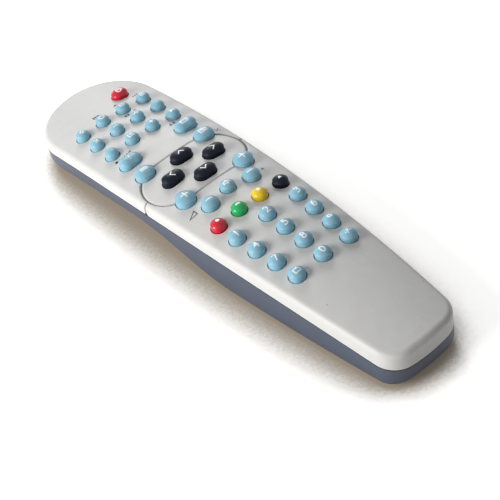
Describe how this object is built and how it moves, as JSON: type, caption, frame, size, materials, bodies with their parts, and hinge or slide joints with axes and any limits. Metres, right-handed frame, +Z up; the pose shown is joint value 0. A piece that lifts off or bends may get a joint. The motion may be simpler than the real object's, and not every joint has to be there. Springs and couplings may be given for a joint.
{
  "type": "tv remote control",
  "caption": "Arched hand-held television remote control with domed sprung keys, an oval arrow-key plate, a cover split across the middle and a battery door in the belly.",
  "frame": {"origin": "middle of the case in the plan, on the surface the belly rests on", "axes": "+X to the right edge with the signs upright, +Y to the head with the infrared window, +Z up out of the key face"},
  "size_m": [0.053, 0.215, 0.0288],
  "materials": {
    "cover_plastic": "fine satin, warm silver grey",
    "case_plastic": "satin, dark blue grey",
    "key_pale": "smooth satin, pale blue",
    "key_red_plastic": "smooth satin, red",
    "key_green_plastic": "smooth satin, green",
    "key_yellow_plastic": "smooth satin, yellow",
    "key_navy_plastic": "smooth satin, navy",
    "board": "glass-filled board with green lacquer",
    "mat_rubber": "soft silicone",
    "window_plastic": "polished, very dark red",
    "lamp_plastic": "clear moulded lens, blue tint",
    "chip_plastic": "moulded black resin",
    "ceramic": "dipped ochre coat",
    "capacitor_can": "sleeved aluminium can",
    "cell_jacket": "plain foil jacket",
    "contact_steel": "nickel plated spring strip",
    "screw_steel": "zinc plated"
  },
  "bodies": {
    "case": {"battery_left": "cell_jacket", "battery_right": "cell_jacket", "capacitor": "capacitor_can", "case_screws": "screw_steel", "circuit_board": "board", "contact_bridge": "contact_steel", "contact_negative": "contact_steel", "contact_positive": "contact_steel", "controller_chip": "chip_plastic", "head_cover": "cover_plastic", "ir_lamp": "lamp_plastic", "ir_window": "window_plastic", "keypad_mat": "mat_rubber", "lower_case": "case_plastic", "nav_plate": "cover_plastic", "resonator": "ceramic", "tail_cover": "cover_plastic"},
    "battery_door": {"battery_door": "case_plastic"},
    "key_0": {"key_0": "key_pale"},
    "key_1": {"key_1": "key_pale"},
    "key_2": {"key_2": "key_pale"},
    "key_3": {"key_3": "key_pale"},
    "key_4": {"key_4": "key_pale"},
    "key_5": {"key_5": "key_pale"},
    "key_6": {"key_6": "key_pale"},
    "key_7": {"key_7": "key_pale"},
    "key_8": {"key_8": "key_pale"},
    "key_9": {"key_9": "key_pale"},
    "key_arrow_down": {"key_arrow_down": "key_navy_plastic"},
    "key_arrow_left": {"key_arrow_left": "key_navy_plastic"},
    "key_arrow_right": {"key_arrow_right": "key_navy_plastic"},
    "key_arrow_up": {"key_arrow_up": "key_navy_plastic"},
    "key_blue": {"key_blue": "key_navy_plastic"},
    "key_broad_left": {"key_broad_left": "key_pale"},
    "key_broad_right": {"key_broad_right": "key_pale"},
    "key_green": {"key_green": "key_green_plastic"},
    "key_mute": {"key_mute": "key_pale"},
    "key_page": {"key_page": "key_pale"},
    "key_power": {"key_power": "key_red_plastic"},
    "key_program_down": {"key_program_down": "key_pale"},
    "key_program_up": {"key_program_up": "key_pale"},
    "key_red": {"key_red": "key_red_plastic"},
    "key_row1_inner_left": {"key_row1_inner_left": "key_pale"},
    "key_row1_inner_right": {"key_row1_inner_right": "key_pale"},
    "key_row1_left": {"key_row1_left": "key_pale"},
    "key_row1_right": {"key_row1_right": "key_pale"},
    "key_row2_inner_left": {"key_row2_inner_left": "key_pale"},
    "key_row2_inner_right": {"key_row2_inner_right": "key_pale"},
    "key_row2_left": {"key_row2_left": "key_pale"},
    "key_row2_right": {"key_row2_right": "key_pale"},
    "key_row3_inner_left": {"key_row3_inner_left": "key_pale"},
    "key_row3_inner_right": {"key_row3_inner_right": "key_pale"},
    "key_row3_left": {"key_row3_left": "key_pale"},
    "key_row3_right": {"key_row3_right": "key_pale"},
    "key_screen": {"key_screen": "key_pale"},
    "key_volume_down": {"key_volume_down": "key_pale"},
    "key_volume_up": {"key_volume_up": "key_pale"},
    "key_wide_left": {"key_wide_left": "key_pale"},
    "key_wide_right": {"key_wide_right": "key_pale"},
    "key_yellow": {"key_yellow": "key_yellow_plastic"}
  },
  "joints": [
    {"name": "key_0_press", "type": "slide", "parent": "case", "child": "key_0", "axis": [0, 0, 1], "range_m": [-0.0007, 0], "stiffness_N_per_m": 600, "springref_m": 0.0005},
    {"name": "key_1_press", "type": "slide", "parent": "case", "child": "key_1", "axis": [0, 0, 1], "range_m": [-0.0007, 0], "stiffness_N_per_m": 600, "springref_m": 0.0005},
    {"name": "key_2_press", "type": "slide", "parent": "case", "child": "key_2", "axis": [0, 0, 1], "range_m": [-0.0007, 0], "stiffness_N_per_m": 600, "springref_m": 0.0005},
    {"name": "key_3_press", "type": "slide", "parent": "case", "child": "key_3", "axis": [0, 0, 1], "range_m": [-0.0007, 0], "stiffness_N_per_m": 600, "springref_m": 0.0005},
    {"name": "key_4_press", "type": "slide", "parent": "case", "child": "key_4", "axis": [0, 0, 1], "range_m": [-0.0007, 0], "stiffness_N_per_m": 600, "springref_m": 0.0005},
    {"name": "key_5_press", "type": "slide", "parent": "case", "child": "key_5", "axis": [0, 0, 1], "range_m": [-0.0007, 0], "stiffness_N_per_m": 600, "springref_m": 0.0005},
    {"name": "key_6_press", "type": "slide", "parent": "case", "child": "key_6", "axis": [0, 0, 1], "range_m": [-0.0007, 0], "stiffness_N_per_m": 600, "springref_m": 0.0005},
    {"name": "key_7_press", "type": "slide", "parent": "case", "child": "key_7", "axis": [0, 0, 1], "range_m": [-0.0007, 0], "stiffness_N_per_m": 600, "springref_m": 0.0005},
    {"name": "key_8_press", "type": "slide", "parent": "case", "child": "key_8", "axis": [0, 0, 1], "range_m": [-0.0007, 0], "stiffness_N_per_m": 600, "springref_m": 0.0005},
    {"name": "key_9_press", "type": "slide", "parent": "case", "child": "key_9", "axis": [0, 0, 1], "range_m": [-0.0007, 0], "stiffness_N_per_m": 600, "springref_m": 0.0005},
    {"name": "key_arrow_down_press", "type": "slide", "parent": "case", "child": "key_arrow_down", "axis": [0, 0, 1], "range_m": [-0.0007, 0], "stiffness_N_per_m": 600, "springref_m": 0.0005},
    {"name": "key_arrow_left_press", "type": "slide", "parent": "case", "child": "key_arrow_left", "axis": [0, 0, 1], "range_m": [-0.0007, 0], "stiffness_N_per_m": 600, "springref_m": 0.0005},
    {"name": "key_arrow_right_press", "type": "slide", "parent": "case", "child": "key_arrow_right", "axis": [0, 0, 1], "range_m": [-0.0007, 0], "stiffness_N_per_m": 600, "springref_m": 0.0005},
    {"name": "key_arrow_up_press", "type": "slide", "parent": "case", "child": "key_arrow_up", "axis": [0, 0, 1], "range_m": [-0.0007, 0], "stiffness_N_per_m": 600, "springref_m": 0.0005},
    {"name": "key_blue_press", "type": "slide", "parent": "case", "child": "key_blue", "axis": [0, 0, 1], "range_m": [-0.0007, 0], "stiffness_N_per_m": 600, "springref_m": 0.0005},
    {"name": "key_broad_left_press", "type": "slide", "parent": "case", "child": "key_broad_left", "axis": [0, 0, 1], "range_m": [-0.0007, 0], "stiffness_N_per_m": 600, "springref_m": 0.0005},
    {"name": "key_broad_right_press", "type": "slide", "parent": "case", "child": "key_broad_right", "axis": [0, 0, 1], "range_m": [-0.0007, 0], "stiffness_N_per_m": 600, "springref_m": 0.0005},
    {"name": "key_green_press", "type": "slide", "parent": "case", "child": "key_green", "axis": [0, 0, 1], "range_m": [-0.0007, 0], "stiffness_N_per_m": 600, "springref_m": 0.0005},
    {"name": "key_mute_press", "type": "slide", "parent": "case", "child": "key_mute", "axis": [0, 0, 1], "range_m": [-0.0007, 0], "stiffness_N_per_m": 600, "springref_m": 0.0005},
    {"name": "key_page_press", "type": "slide", "parent": "case", "child": "key_page", "axis": [0, 0, 1], "range_m": [-0.0007, 0], "stiffness_N_per_m": 600, "springref_m": 0.0005},
    {"name": "key_power_press", "type": "slide", "parent": "case", "child": "key_power", "axis": [0, 0, 1], "range_m": [-0.0007, 0], "stiffness_N_per_m": 600, "springref_m": 0.0005},
    {"name": "key_program_down_press", "type": "slide", "parent": "case", "child": "key_program_down", "axis": [0, 0, 1], "range_m": [-0.0007, 0], "stiffness_N_per_m": 600, "springref_m": 0.0005},
    {"name": "key_program_up_press", "type": "slide", "parent": "case", "child": "key_program_up", "axis": [0, 0, 1], "range_m": [-0.0007, 0], "stiffness_N_per_m": 600, "springref_m": 0.0005},
    {"name": "key_red_press", "type": "slide", "parent": "case", "child": "key_red", "axis": [0, 0, 1], "range_m": [-0.0007, 0], "stiffness_N_per_m": 600, "springref_m": 0.0005},
    {"name": "key_row1_inner_left_press", "type": "slide", "parent": "case", "child": "key_row1_inner_left", "axis": [0, 0, 1], "range_m": [-0.0007, 0], "stiffness_N_per_m": 600, "springref_m": 0.0005},
    {"name": "key_row1_inner_right_press", "type": "slide", "parent": "case", "child": "key_row1_inner_right", "axis": [0, 0, 1], "range_m": [-0.0007, 0], "stiffness_N_per_m": 600, "springref_m": 0.0005},
    {"name": "key_row1_left_press", "type": "slide", "parent": "case", "child": "key_row1_left", "axis": [0, 0, 1], "range_m": [-0.0007, 0], "stiffness_N_per_m": 600, "springref_m": 0.0005},
    {"name": "key_row1_right_press", "type": "slide", "parent": "case", "child": "key_row1_right", "axis": [0, 0, 1], "range_m": [-0.0007, 0], "stiffness_N_per_m": 600, "springref_m": 0.0005},
    {"name": "key_row2_inner_left_press", "type": "slide", "parent": "case", "child": "key_row2_inner_left", "axis": [0, 0, 1], "range_m": [-0.0007, 0], "stiffness_N_per_m": 600, "springref_m": 0.0005},
    {"name": "key_row2_inner_right_press", "type": "slide", "parent": "case", "child": "key_row2_inner_right", "axis": [0, 0, 1], "range_m": [-0.0007, 0], "stiffness_N_per_m": 600, "springref_m": 0.0005},
    {"name": "key_row2_left_press", "type": "slide", "parent": "case", "child": "key_row2_left", "axis": [0, 0, 1], "range_m": [-0.0007, 0], "stiffness_N_per_m": 600, "springref_m": 0.0005},
    {"name": "key_row2_right_press", "type": "slide", "parent": "case", "child": "key_row2_right", "axis": [0, 0, 1], "range_m": [-0.0007, 0], "stiffness_N_per_m": 600, "springref_m": 0.0005},
    {"name": "key_row3_inner_left_press", "type": "slide", "parent": "case", "child": "key_row3_inner_left", "axis": [0, 0, 1], "range_m": [-0.0007, 0], "stiffness_N_per_m": 600, "springref_m": 0.0005},
    {"name": "key_row3_inner_right_press", "type": "slide", "parent": "case", "child": "key_row3_inner_right", "axis": [0, 0, 1], "range_m": [-0.0007, 0], "stiffness_N_per_m": 600, "springref_m": 0.0005},
    {"name": "key_row3_left_press", "type": "slide", "parent": "case", "child": "key_row3_left", "axis": [0, 0, 1], "range_m": [-0.0007, 0], "stiffness_N_per_m": 600, "springref_m": 0.0005},
    {"name": "key_row3_right_press", "type": "slide", "parent": "case", "child": "key_row3_right", "axis": [0, 0, 1], "range_m": [-0.0007, 0], "stiffness_N_per_m": 600, "springref_m": 0.0005},
    {"name": "key_screen_press", "type": "slide", "parent": "case", "child": "key_screen", "axis": [0, 0, 1], "range_m": [-0.0007, 0], "stiffness_N_per_m": 600, "springref_m": 0.0005},
    {"name": "key_volume_down_press", "type": "slide", "parent": "case", "child": "key_volume_down", "axis": [0, 0, 1], "range_m": [-0.0007, 0], "stiffness_N_per_m": 600, "springref_m": 0.0005},
    {"name": "key_volume_up_press", "type": "slide", "parent": "case", "child": "key_volume_up", "axis": [0, 0, 1], "range_m": [-0.0007, 0], "stiffness_N_per_m": 600, "springref_m": 0.0005},
    {"name": "key_wide_left_press", "type": "slide", "parent": "case", "child": "key_wide_left", "axis": [0, 0, 1], "range_m": [-0.0007, 0], "stiffness_N_per_m": 600, "springref_m": 0.0005},
    {"name": "key_wide_right_press", "type": "slide", "parent": "case", "child": "key_wide_right", "axis": [0, 0, 1], "range_m": [-0.0007, 0], "stiffness_N_per_m": 600, "springref_m": 0.0005},
    {"name": "key_yellow_press", "type": "slide", "parent": "case", "child": "key_yellow", "axis": [0, 0, 1], "range_m": [-0.0007, 0], "stiffness_N_per_m": 600, "springref_m": 0.0005},
    {"name": "battery_door_hinge", "type": "hinge", "parent": "case", "child": "battery_door", "pos_m": [0, -0.097, 0], "axis": [-1, 0, 0], "range_deg": [0, 50]}
  ]
}
